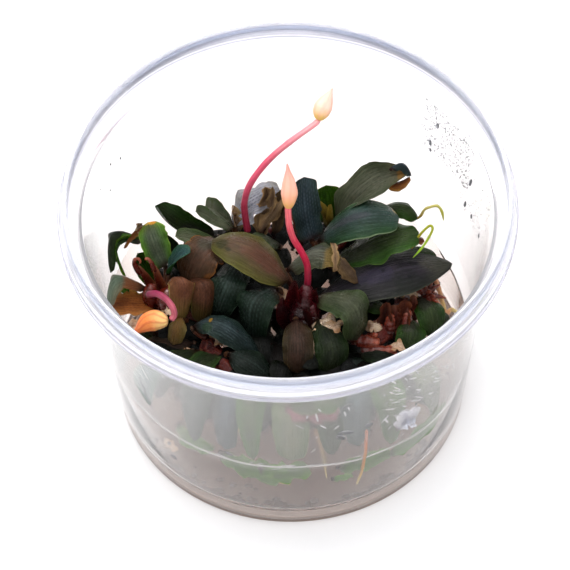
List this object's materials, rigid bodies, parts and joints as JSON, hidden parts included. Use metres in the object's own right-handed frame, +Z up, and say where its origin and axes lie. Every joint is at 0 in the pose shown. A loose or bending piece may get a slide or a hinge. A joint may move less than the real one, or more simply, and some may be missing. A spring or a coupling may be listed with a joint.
{
  "type": "potted aquatic plant in a culture cup",
  "caption": "Bucephalandra with dark green and brown leaves and peach flower sheaths on red stalks, growing from clear gel in an open clear plastic culture cup.",
  "frame": {"origin": "middle of the cup's foot, on the plane it stands on", "axes": "+Z up along the cup's axis, the front of the plant looks along -Y, the tall flower stalk leans towards +X"},
  "size_m": [0.1, 0.1, 0.071],
  "materials": {
    "clear_plastic": "clear, slightly hazy, smooth",
    "clear_gel": "clear wet gel",
    "rhizome_red": "dark red bark, waxy",
    "stalk_red": "smooth, fleshy",
    "spathe_peach": "soft petal",
    "root_green": "smooth root",
    "leaf_dark": "leathery leaf with a soft sheen",
    "leaf_olive": "leathery leaf with a soft sheen",
    "leaf_brown": "leathery leaf with a soft sheen",
    "leaf_tan": "dry withered leaf",
    "leaf_purple": "leathery leaf with a soft sheen",
    "leaf_mauve": "leathery leaf with a soft sheen",
    "leaf_teal": "leathery leaf with a soft sheen",
    "leaf_blue": "leathery leaf with a soft sheen",
    "leaf_slate": "leathery leaf with a soft sheen",
    "leaf_grey": "leathery leaf with a soft sheen",
    "leaf_green": "leathery leaf with a soft sheen"
  },
  "bodies": {
    "root": {"culture_cup": "clear_plastic", "culture_gel": "clear_gel", "rhizome_centre": "rhizome_red", "rhizome_left": "rhizome_red", "rhizome_back": "rhizome_red", "rhizome_back_right": "rhizome_red", "rhizome_right": "rhizome_red", "rhizome_front": "rhizome_red", "flower_stalk_tall": "stalk_red", "flower_stalk_middle": "stalk_red", "flower_stalk_left": "stalk_red", "spathe_tall": "spathe_peach", "spathe_middle": "spathe_peach", "spathe_left": "spathe_peach", "root_hooked": "root_green", "root_looped": "root_green", "leaf_olive_broad": "leaf_olive", "leaf_brown_draped": "leaf_brown", "leaf_green_trough": "leaf_green", "leaf_grey_blunt": "leaf_grey", "leaf_grey_small": "leaf_grey", "leaf_grey_pointed": "leaf_grey", "leaf_shaded_left": "leaf_dark", "leaf_teal_hanging": "leaf_teal", "leaf_teal_wide": "leaf_teal", "leaf_blue_arch": "leaf_blue", "leaf_teal_front": "leaf_teal", "leaf_torn_green": "leaf_green", "leaf_deep_green": "leaf_green", "leaf_curled_left": "leaf_dark", "leaf_blue_small": "leaf_blue", "leaf_purple_inner": "leaf_purple", "leaf_purple_outer": "leaf_purple", "leaf_brown_arch": "leaf_brown", "leaf_tan_withered": "leaf_tan", "leaf_olive_small": "leaf_olive", "leaf_dark_low": "leaf_dark", "leaf_slate_upright": "leaf_slate", "leaf_back_dark": "leaf_dark", "leaf_folded_top": "leaf_dark", "leaf_blue_broad": "leaf_blue", "leaf_green_under": "leaf_green", "leaf_green_glossy": "leaf_green", "leaf_slate_spotted": "leaf_slate", "leaf_green_behind": "leaf_green", "leaf_torn_grey": "leaf_grey", "leaf_grey_low": "leaf_grey", "leaf_bent_grey": "leaf_grey", "leaf_dark_front": "leaf_dark", "leaf_mauve_front": "leaf_mauve", "leaf_green_square": "leaf_green", "leaf_green_edged": "leaf_green", "leaf_low_right": "leaf_dark", "leaf_low_teal": "leaf_teal", "leaf_front_left": "leaf_dark", "leaf_front_upright": "leaf_dark", "leaf_front_middle": "leaf_dark", "leaf_front_right": "leaf_dark", "leaf_front_far": "leaf_dark", "leaf_withered_brown": "leaf_brown"}
  },
  "joints": []
}
